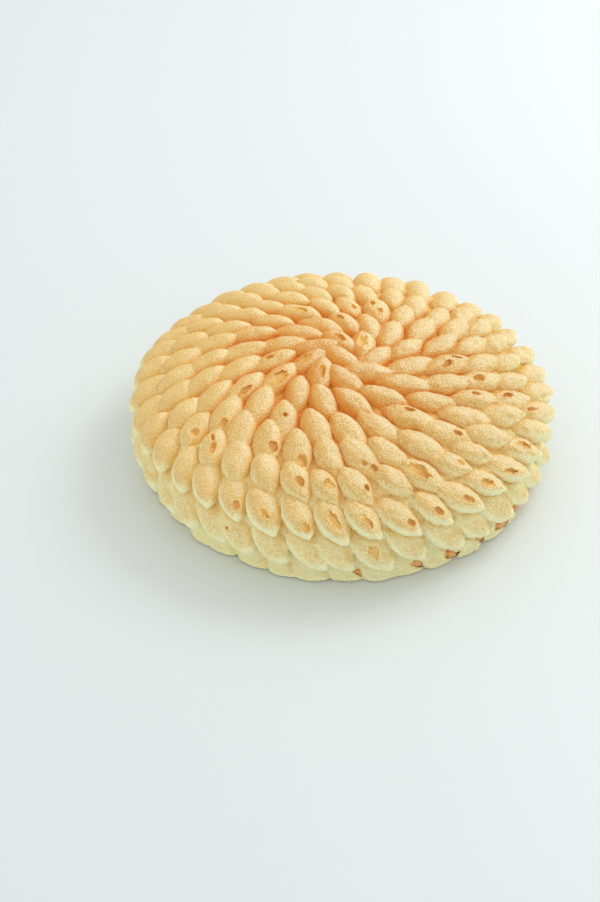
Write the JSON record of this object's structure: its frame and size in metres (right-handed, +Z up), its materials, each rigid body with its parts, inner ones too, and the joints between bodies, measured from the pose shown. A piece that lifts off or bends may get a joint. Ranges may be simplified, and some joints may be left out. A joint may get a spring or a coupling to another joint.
{
  "type": "piped petal cream cake",
  "caption": "Low round cream cake, its dome and sides covered in rings of slanted piped petals with a velvet spray, on a thin baked base.",
  "frame": {"origin": "on the table under the middle of the cake", "axes": "+Z up out of the cake's crown; -Y towards the side that the picture shows in front"},
  "size_m": [0.1819, 0.1816, 0.0486],
  "materials": {
    "sprayed_cream": "matte, fine velvet grain",
    "baked_crust": "rough baked crumb"
  },
  "bodies": {
    "root": {"piped_cream": "sprayed_cream", "pastry_base": "baked_crust"}
  },
  "joints": []
}
